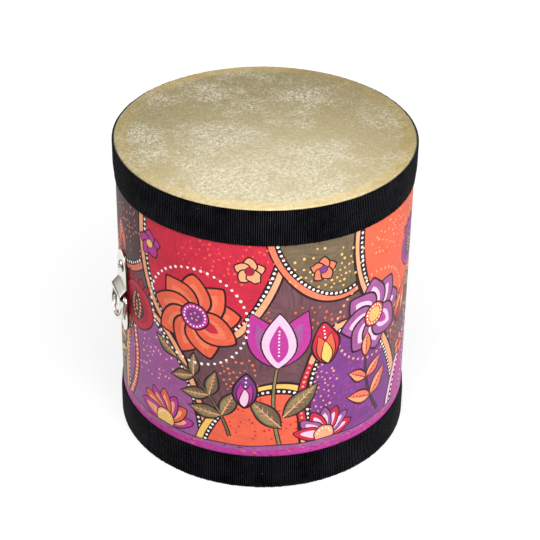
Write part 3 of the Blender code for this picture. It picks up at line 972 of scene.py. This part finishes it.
def lathe(outline, count):
    """Points and faces of an outline of (r, z) turned about Z. A point on the axis is made once."""
    points, rings = [], []
    for r, z in outline:
        if r < ON_AXIS:
            rings.append([len(points)] * count)
            points.append((0, 0, z))
            continue
        rings.append(list(range(len(points), len(points) + count)))
        points += [spun(r, tau * i / count, z) for i in range(count)]
    around = list(zip(rings, rings[1:]))
    if outline[0][0] > ON_AXIS:
        around.append((rings[-1], rings[0]))
    faces = [list(dict.fromkeys(corners)) for a, b in around for corners in quads(a, b)]
    return points, [corners for corners in faces if len(corners) > 2]


def facing(angle, radius, z):
    """A place on the drum's side, in mm, with its own Z axis pointing straight out."""
    out = Vector((cos(angle), sin(angle), 0))
    across = Vector((-sin(angle), cos(angle), 0))
    turn = Matrix((across, Vector((0, 0, 1)), out)).transposed().to_4x4()
    return Matrix.Translation(out * radius + Vector((0, 0, z))) @ turn


def put(points, where):
    return [tuple(where @ Vector(p)) for p in points]


def region(outline, holes=(), lines=(), fills=()):
    """Triangles of a flat outline less its holes, split along the lines and the fills.

    Gives the points, the triangles, the topmost fill of each (-1 for none) and the loops at the edge.
    """
    points, faces, edges = [], [], []
    for shape in [outline, *holes, *fills]:
        turn = sum(a[0] * b[1] - b[0] * a[1] for a, b in zip(shape, shape[1:] + shape[:1]))
        faces.append(list(range(len(points), len(points) + len(shape))))
        points += [Vector(p) for p in (shape if turn > 0 else shape[::-1])]
    for line in lines:
        edges.append((len(points), len(points) + 1))
        points += [Vector(p) for p in line]
    cut = delaunay_2d_cdt(points, edges, faces, 1, MERGE_DISTANCE)
    found, _, triangles, _, _, owners = cut
    first = 1 + len(holes)
    kept, tops = [], []
    for corners, owner in zip(triangles, owners):
        if 0 in owner and not any(0 < o < first for o in owner):
            kept.append(corners)
            tops.append(max(-1, max(owner) - first))
    used = sorted({i for corners in kept for i in corners})
    number = {old: new for new, old in enumerate(used)}
    kept = [[number[i] for i in corners] for corners in kept]
    return [tuple(found[i]) for i in used], kept, tops, edge_loops(kept)


def edge_loops(triangles):
    """The corners along each edge of a patch of triangles, in order."""
    sides = [(a, b) for t in triangles for a, b in zip(t, t[1:] + t[:1])]
    both = set(sides)
    after = {a: b for a, b in sides if (b, a) not in both}
    loops = []
    while after:
        loop = [next(iter(after))]
        while after[loop[-1]] in after and after[loop[-1]] != loop[0]:
            loop.append(after[loop[-1]])
        for i in loop:
            del after[i]
        loops.append(loop)
    return loops


def wrap(look):
    """The printed sleeve, closed all round: the painted face, its plain back and the edges between."""

    def turn(u):
        return SEAM_ANGLE + (u - SHEET_FROM + SEAM_WIDTH / 2) / WRAP_RADIUS

    def along(angle):
        return (angle - SEAM_ANGLE) * WRAP_RADIUS + SHEET_FROM - SEAM_WIDTH / 2

    def upright(places):
        return [((u, SHEET_LOW), (u, SHEET_HIGH)) for u in places]

    layers = sheet_art()
    columns = steps(SHEET_FROM, SHEET_TO, WRAP_COLUMNS)
    left, right = upright((SHEET_FROM, SHEET_TO))
    outline = [left[0], right[0], right[1], left[1]]
    holes = [circle(along(pi), z, HOLE_RADIUS, HOLE_SIDES) for z in SCREW_HEIGHTS.values()]
    holes.append(circle(along(VENT_ANGLE), DRUM_HEIGHT / 2, VENT_HOLE, HOLE_SIDES))
    fills = [shape for shape, _ in layers]
    flat, front, tops, loops = region(outline, holes, upright(columns[1:-1]), fills)

    # The back has the same edges and few lines, which stay clear of the holes.
    rim = [i for loop in loops for i in loop]
    behind = {i: len(flat) + k for k, i in enumerate(rim)}
    shapes = sorted(([flat[i] for i in loop] for loop in loops), key=len, reverse=True)
    middles = [hole[0][0] - HOLE_RADIUS for hole in holes]
    clear = [u for u in columns[3:-3:3] if all(abs(u - m) > HOLE_CLEARANCE for m in middles)]
    backs, back, _, _ = region(shapes[0], shapes[1:], upright(clear))
    near = {(round(flat[i][0], 3), round(flat[i][1], 3)): behind[i] for i in rim}
    same = [near[(round(u, 3), round(v, 3))] for u, v in backs]

    spots = flat + [flat[i] for i in rim]
    inside = WRAP_RADIUS - WRAP_THICKNESS
    points = [spun(WRAP_RADIUS, turn(u), v) for u, v in flat]
    points += [spun(inside, turn(u), v) for u, v in spots[len(flat) :]]
    faces = list(front) + [[same[i] for i in reversed(corners)] for corners in back]
    walls = len(faces)
    for loop in loops:
        faces += [[behind[a], behind[b], b, a] for a, b in zip(loop, loop[1:] + loop[:1])]

    data = plain_mesh("wrap", points, faces, look)
    paints = {name: (*srgb(*value[:3]), value[3]) for name, value in PAINTS.items()}
    colours, outward, place = [], [], []
    for k, corners in enumerate(faces):
        painted = k < len(front)
        colour = "paper"
        if painted:
            colour = "brown" if tops[k] < 0 else layers[tops[k]][1]
        data.polygons[k].use_smooth = k < walls
        for i in corners:
            x, y, _ = points[i]
            size = hypot(x, y) * (1 if painted else -1)
            outward.append((x / size, y / size, 0) if k < walls else (0, 0, 0))
            colours += paints[colour]
            place += (spots[i][0] / UV_UNIT, spots[i][1] / UV_UNIT)
    data.color_attributes.new("paint", "FLOAT_COLOR", "CORNER").data.foreach_set("color", colours)
    data.uv_layers.new(name="sheet").data.foreach_set("uv", place)
    data.normals_split_custom_set(outward)
    piece(data, "drum", "printed_wrap")


def head(name, node, top, look):
    """The film cup, with its rounded rim and the collar that the hoop clamps."""
    centre = (FILM_RADIUS - RIM_ROUND, RIM_ROUND)
    outer = [(r, 0.0) for r in FILM_ROWS]
    outer += arc(centre, RIM_ROUND, -90, 0, 12) + [(FILM_RADIUS, COLLAR_DEPTH)]
    inner = [(FILM_RADIUS - FILM_THICKNESS, COLLAR_DEPTH)]
    inner += arc(centre, RIM_ROUND - FILM_THICKNESS, 0, -90, 10)
    inner += [(60, FILM_THICKNESS), (0, FILM_THICKNESS)]
    outline = [(r, DRUM_HEIGHT - z if top else z) for r, z in outer + inner]
    piece(mesh_of(name, *lathe(outline, HEAD_SIDES), look), "drum", node)


def ribbon(name, node, top, look):
    """Grosgrain ribbon: ribs across its width, scalloped edges, and its end lapped over its start."""
    rng = random.Random(TOP_SEED if top else BOTTOM_SEED)
    count = round(RIBS * (1 + LAP_ANGLE / tau)) * RIB_STEPS
    ribs = [1 - RIB_SPREAD * rng.random() for _ in range(RIBS + count)]
    hems = [rng.uniform(0.1, 1.0) for _ in range(RIBS + count)]
    slack = [rng.uniform(0, tau) for _ in range(4)]

    def wall(z):
        """The radius of the smooth face, which leans in towards its foot."""
        share = (z - LEAN_FROM) / (BAND_SETBACK + BAND_HEIGHT - LEAN_FROM)
        return BAND_RADIUS - (BAND_RADIUS - BAND_FOOT) * smooth(share)

    points, columns, crests = [], [], []
    for i in range(count + 1):
        angle = tau * i / (RIBS * RIB_STEPS)
        share = (i % RIB_STEPS) / RIB_STEPS
        valley = ribs[i // RIB_STEPS] * (1 - sin(pi * share) ** 0.7)
        lift = LAP_LIFT * smooth((angle - tau + LAP_ANGLE) / LAP_ANGLE)
        loose = LOOSENESS * (1 + sin(5 * angle + slack[0]) * sin(11 * angle + slack[1]))
        # Laid by hand, the ribbon is level with the film at the front and dips a little at the back.
        dip = DIP * (1 - cos(angle - BAND_FRONT)) - DIP + 0.3 * lift
        column = []
        for y in BAND_ROWS:
            z = BAND_SETBACK + y
            edge = min(y, BAND_HEIGHT - y)
            roll = ROLL_DEPTH * (1 - sqrt(1 - (1 - min(1, edge / ROLL_REACH)) ** 2))
            depth = RIB_DEPTH * valley * (0.55 + 0.45 * min(1, edge / 0.9))
            face = wall(z) - loose - (roll + depth)
            notch = 1.25 - sin(pi * share)
            hem = hems[i // RIB_STEPS] * notch * max(0, 1 - edge / HEM_REACH)
            drop = dip * (1 - y / BAND_HEIGHT)
            z += hem + drop if y < BAND_HEIGHT / 2 else drop - hem
            sway = SWAY_ANGLE * sin(0.35 * y + slack[2]) * sin(3 * angle + slack[3])
            column.append((face + lift, angle + sway, z))
        for y in BACK_ROWS:
            z = BAND_SETBACK + y
            face = wall(z) - BAND_THICKNESS + lift
            column.append((face, angle, z + dip * (1 - y / BAND_HEIGHT)))
        columns.append(list(range(len(points), len(points) + len(column))))
        # The crest value places the ribbon's painted highlight on the crests and its painted shade in
        # the grooves.
        crests += [max(0.0, 1 - 1.25 * valley)] * len(column)
        points += [spun(r, a + SEAM_ANGLE, DRUM_HEIGHT - z if top else z) for r, a, z in column]
    faces = [columns[0], columns[-1]]
    for a, b in zip(columns, columns[1:]):
        faces += quads(a, b)
    data = mesh_of(name, points, faces, look)
    data.attributes.new("crest", "FLOAT", "POINT").data.foreach_set("value", crests)
    made = piece(data, "drum", node)


def folded_side():
    """The bracket's two faces seen from its edge, as heights above the leaf's back along it."""
    half, mid = BRACKET_SHEET / 2, BRACKET_LENGTH / 2
    fold, crest = FOLD_RADIUS + half, CREST_RADIUS - half
    tangent = tan(BRIDGE_SLOPE / 2)
    base = BRIDGE_BASE / 2 - half * tangent
    run = base / cos(BRIDGE_SLOPE) - crest * tan(BRIDGE_SLOPE) - fold * tangent
    leaf = mid - base - fold * tangent
    x, y, turn = 0.0, 0.0, 0.0
    path = [(x, y, turn)]
    for length, amount, radius in (
        (leaf, BRIDGE_SLOPE, fold),
        (run, -2 * BRIDGE_SLOPE, crest),
        (run, BRIDGE_SLOPE, fold),
        (leaf, 0, 0),
    ):
        x, y = polar(x, y, turn, length)
        path.append((x, y, turn))
        side = copysign(1, amount) * radius
        centre = (x - side * sin(turn), y + side * cos(turn))
        start = turn
        for i in range(1, 13 if amount else 1):
            turn = start + amount * i / 12
            x, y = centre[0] + side * sin(turn), centre[1] - side * cos(turn)
            path.append((x, y, turn))
    above = [(x - half * sin(a) - mid, y + half * cos(a) + half) for x, y, a in path]
    below = [(x + half * sin(a) - mid, y - half * cos(a) + half) for x, y, a in path]
    return above, below


def tongue():
    """The bracket seen from the front."""
    half_width, half_length = BRACKET_WIDTH / 2, BRACKET_LENGTH / 2
    climb = TIP_ARC_LENGTH - TIP_ROUND
    radius = (half_width**2 + climb**2 - TIP_ROUND**2) / (2 * (half_width - TIP_ROUND))
    meet = degrees(atan2(climb, radius - half_width))
    side = arc((half_width - radius, half_length - TIP_ARC_LENGTH), radius, 0, meet, 14)[:-1]
    tip = arc((0, half_length - TIP_ROUND), TIP_ROUND, meet, 180 - meet, 16)
    upper = side + tip + [(-x, y) for x, y in reversed(side)]
    return upper + [(-x, -y) for x, y in upper]


def bracket(look):
    """The stamped bracket, with its bridge, its drilled holes and softened edges."""
    above, below = folded_side()
    drilled = [z - BRACKET_Z for z in SCREW_HEIGHTS.values()]
    holes = [circle(0, v, HOLE_RADIUS + SOFT_EDGE, HOLE_SIDES) for v in drilled]
    levels = sorted({round(x, 4) for x, _ in above + below if abs(x) < BRACKET_LENGTH / 2 - 1})
    # A line just inside each end of a flat keeps the shading of the flat even.
    levels += [x for a, b in zip(levels, levels[1:]) if b - a > 1.2 for x in (a + 0.2, b - 0.2)]
    lines = [((-BRACKET_WIDTH, x), (BRACKET_WIDTH, x)) for x in levels]
    flat, front, _, loops = region(grown(tongue(), -SOFT_EDGE), holes, lines)

    def spot(u, v, share):
        low, high = (float(np.interp(v, *zip(*line))) for line in (below, above))
        return u, v, low + (high - low) * share

    points = [spot(u, v, 1.0) for u, v in flat] + [spot(u, v, 0.0) for u, v in flat]
    count = len(flat)
    faces = list(front) + [[i + count for i in reversed(corners)] for corners in front]
    for loop in loops:
        outs = normals([flat[i] for i in loop])
        rows = [loop]
        for turn in (30, 60, 90, -90, -60, -30):
            out = SOFT_EDGE * sin(radians(abs(turn)))
            drop = SOFT_EDGE * (1 - cos(radians(abs(turn)))) / BRACKET_SHEET
            rows.append(list(range(len(points), len(points) + len(loop))))
            for i, (nu, nv) in zip(loop, outs):
                u, v = flat[i][0] + out * nu, flat[i][1] + out * nv
                points.append(spot(u, v, 1 - drop if turn > 0 else drop))
        rows.append([i + count for i in loop])
        for a, b in zip(rows, rows[1:]):
            faces += quads(a, b)
    where = facing(pi, LEAF_BACK, BRACKET_Z)
    data = mesh_of("bracket", put(points, where), faces, look)
    piece(data, "drum", "strap_bracket")


def ring(look):
    """The wire D, swept along its bent line."""
    right = arc((RING_BOW - RING_CORNER, -RING_CORNER), RING_CORNER, 90, 0, 12)
    bow = arc((0, -RING_LIMB), RING_BOW, 0, -180, 72)
    path = right + bow + [(-x, y) for x, y in reversed(right)]
    outs = normals(path[::-1])[::-1]
    points, rows, faces = [], [], []
    for (x, y), (nx, ny) in zip(path, outs):
        size = hypot(nx, ny)
        rows.append(range(len(points), len(points) + WIRE_SIDES))
        for k in range(WIRE_SIDES):
            reach, across = polar(0, 0, tau * k / WIRE_SIDES, WIRE_RADIUS)
            points.append((across, x + reach * nx / size, y + reach * ny / size))
    for a, b in zip(rows, rows[1:] + rows[:1]):
        faces += quads(a, b)
    where = Matrix.Translation((-BAR_RADIUS, 0, BAR_Z)) @ Matrix.Rotation(RING_LEAN, 4, "Y")
    piece(mesh_of("d_ring", put(points, where), faces, look), "ring", "strap_ring")


def screw(side, look):
    """A pan-head screw with a cross recess."""
    tall, inset, foot = SCREW_HEAD_HEIGHT, 0.1, 0.3
    brim, rise = SCREW_HEAD_RADIUS - inset, SCREW_HEAD_HEIGHT - foot
    dome = (brim**2 + rise**2) / (2 * rise)
    crown = arc((0, tall - dome), dome, 90, 90 - degrees(asin(brim / dome)), 10)
    crown[0] = (0, tall)
    edge = [(SCREW_HEAD_RADIUS, 0.18), (SCREW_HEAD_RADIUS, 0.06), (SCREW_HEAD_RADIUS - 0.06, 0)]
    stem = [(SHANK_RADIUS, 0), (SHANK_RADIUS, 0.5 - SHANK_LENGTH)]
    stem += [(SHANK_RADIUS - 0.5, -SHANK_LENGTH), (0, -SHANK_LENGTH)]
    where = facing(pi, SCREW_SEAT, SCREW_HEIGHTS[side])
    points, faces = lathe(crown + edge + stem, SCREW_SIDES)
    data = mesh_of("screw_" + side, put(points, where), faces, look)

    wide, reach, depth = 0.45, 2.1, 1.1
    limb = [(reach, -wide), (reach, wide), (wide, wide)]
    cross = []
    for _ in range(4):
        cross += limb
        limb = [(-y, x) for x, y in limb]
    deep = [(x * 0.62, y * 0.62, tall - depth) for x, y in cross]
    high = [(x * 1.12, y * 1.12, tall + 0.6) for x, y in cross]
    low_row, high_row = range(len(cross)), range(len(cross), 2 * len(cross))
    faces = quads(low_row, high_row) + [low_row[::-1], high_row]
    cutter = linked("cutter", mesh_of("cutter", put(deep + high, where), faces, look))
    blank = linked("blank", data)
    boolean = blank.modifiers.new("recess", "BOOLEAN")
    boolean.object = cutter
    boolean.solver = "EXACT"
    graph = bpy.context.evaluated_depsgraph_get()
    final = bpy.data.meshes.new_from_object(blank.evaluated_get(graph))
    for made in (cutter, blank):
        bpy.data.objects.remove(made)
    final.name = "screw_head_" + side
    final.shade_smooth()
    final.set_sharp_from_angle(angle=SCREW_SHARP_ANGLE)
    piece(final, "drum", "bracket_screw_" + side)


def eyelet(look):
    """The vent's eyelet: a rolled flange outside, a barrel through the wall and a small lip inside."""
    low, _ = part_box("vent_eyelet")
    end = low.y / MM - EYELET_SEAT
    throat = arc((EYELET_BORE + EYELET_ROLL, 0), EYELET_ROLL, 180, 90, 10)
    crown = arc((EYELET_FLANGE - EYELET_ROLL, 0), EYELET_ROLL, 90, 0, 10)
    barrel = [(EYELET_BARREL, 0), (EYELET_BARREL, end + 1.0)]
    lip = [(EYELET_BARREL + 1.0, end), (EYELET_BORE, end)]
    points, faces = lathe(throat + crown + barrel + lip, EYELET_SIDES)
    where = facing(VENT_ANGLE, EYELET_SEAT, DRUM_HEIGHT / 2)
    piece(mesh_of("eyelet", put(points, where), faces, look), "drum", "vent_eyelet")


def sight(tree):
    """Whether the camera or a ray through glass looks, and whether a shiny thing does."""
    wanted = ("Is Camera Ray", "Is Transmission Ray", "Is Glossy Ray")
    camera_ray, through, glossy = add_node(tree, "ShaderNodeLightPath", None, wanted)
    return camera_ray.larger(through), glossy


def world():
    """Even soft light. The camera sees white, and shiny things a studio that darkens to its walls."""
    made = bpy.data.worlds.new("studio")
    made.use_nodes = True
    tree = made.node_tree
    clear, glossy = sight(tree)
    way = add_node(tree, "ShaderNodeTexCoord", out="Generated")
    up = add_node(tree, "ShaderNodeSeparateXYZ", {0: way}, 2)
    studio = up.rise(0.0, 0.17, 0.03, 0.72)
    background = tree.nodes["Background"].inputs
    feed(background["Strength"], clear.between(glossy.between(AMBIENT, studio), 1.0))
    feed(background["Color"], (1, 1, 1))
    bpy.context.scene.world = made


def floor():
    """A white table that keeps a faint shadow. Shiny things see its far part as dark."""
    corners = [(-1, -1), (1, -1), (1, 1), (-1, 1)]
    corners = [(x * FLOOR_REACH, y * FLOOR_REACH, FLOOR_LEVEL) for x, y in corners]
    data = bpy.data.meshes.new("floor")
    data.from_pydata(corners, [], [(0, 1, 2, 3)])
    look = bpy.data.materials.new("floor")
    look.use_nodes = True
    tree = look.node_tree
    tree.nodes.remove(tree.nodes["Principled BSDF"])
    clear, glossy = sight(tree)
    place = add_node(tree, "ShaderNodeTexCoord", out="Object")
    far, ahead = place.vector("LENGTH"), place.vector("DOT_PRODUCT", TO_CAMERA)
    white = far.ramp(0.12, 0.45, FLOOR_GLOW, 0.97)
    mirrored = far.ramp(0.3, 0.6, 0.9, 0.02) * ahead.ramp(0.05, 0.12, 1.0, 0.05)
    glow = clear.between(glossy * mirrored, white)
    shade = clear.larger(glossy).mix((0.8, 0.8, 0.8), (0.24, 0.24, 0.24))
    matt = add_node(tree, "ShaderNodeBsdfDiffuse", {"Color": shade})
    lit = add_node(tree, "ShaderNodeEmission", {"Color": (1, 1, 1), "Strength": glow})
    both = add_node(tree, "ShaderNodeAddShader", {0: matt, 1: lit})
    # Seen from below, the floor isn't there.
    hidden = add_node(tree, "ShaderNodeBsdfTransparent")
    back = add_node(tree, "ShaderNodeNewGeometry", out="Backfacing")
    shown = add_node(tree, "ShaderNodeMixShader", {0: back, 1: both, 2: hidden})
    feed(tree.nodes["Material Output"].inputs["Surface"], shown)
    data.materials.append(look)
    linked("floor", data)


def lamp(name, place, aim, wide, tall, watts):
    data = bpy.data.lights.new(name, "AREA")
    data.shape = "RECTANGLE"
    data.size, data.size_y, data.energy = wide, tall, watts
    made = linked(name, data)
    made.location = place
    made.rotation_euler = (Vector(aim) - Vector(place)).to_track_quat("-Z", "Y").to_euler()
    made.visible_camera = False


def camera():
    level, rise = cos(VIEW_CLIMB), sin(VIEW_CLIMB)
    back = Vector((sin(VIEW_TURN) * level, -cos(VIEW_TURN) * level, rise))
    right = Vector((cos(VIEW_TURN), sin(VIEW_TURN), 0))
    up = back.cross(right)
    data = bpy.data.cameras.new("camera")
    data.sensor_width = SENSOR_WIDTH
    data.lens = FOCAL_PIXELS / PHOTO_PIXELS * SENSOR_WIDTH
    axis_x = right * cos(VIEW_ROLL) + up * sin(VIEW_ROLL)
    axis_y = up * cos(VIEW_ROLL) - right * sin(VIEW_ROLL)
    place = Vector((0, 0, VIEW_HEIGHT)) + right * VIEW_ASIDE + back * VIEW_DISTANCE
    turn = Matrix((axis_x, axis_y, back)).transposed().to_4x4()
    made = linked("camera", data)
    made.matrix_world = Matrix.Translation(place) @ turn
    bpy.context.scene.camera = made


def main():
    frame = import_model()
    nodes = frame["nodes"]

    camera()
    world()
    floor()
    for row in LAMPS:
        lamp(*row)

    film, cloth = film_look(), ribbon_look()
    plated = nickel_look("nickel_plate", 0.12, 0.26, 0.95)
    drawn = nickel_look("nickel_wire", 0.06, 0.16, 0.0)
    wrap(print_look())
    head("head_top", "batter_head", True, film)
    head("head_bottom", "resonant_head", False, film)
    ribbon("ribbon_top", "top_band", True, cloth)
    ribbon("ribbon_bottom", "bottom_band", False, cloth)
    bracket(plated)
    ring(drawn)
    for side in SCREW_HEIGHTS:
        screw(side, plated)
    eyelet(drawn)

    inner = {"shell": board_look(), "hoop": strip_look(), "inner_steel": zinc_look()}
    for row in frame["record"]["subparts"]:
        if row["material_slot"] in inner:
            data = nodes[row["node"]].data
            data.materials.clear()
            data.materials.append(inner[row["material_slot"]])

    scene = bpy.context.scene
    scene.view_settings.view_transform = "Standard"


main()
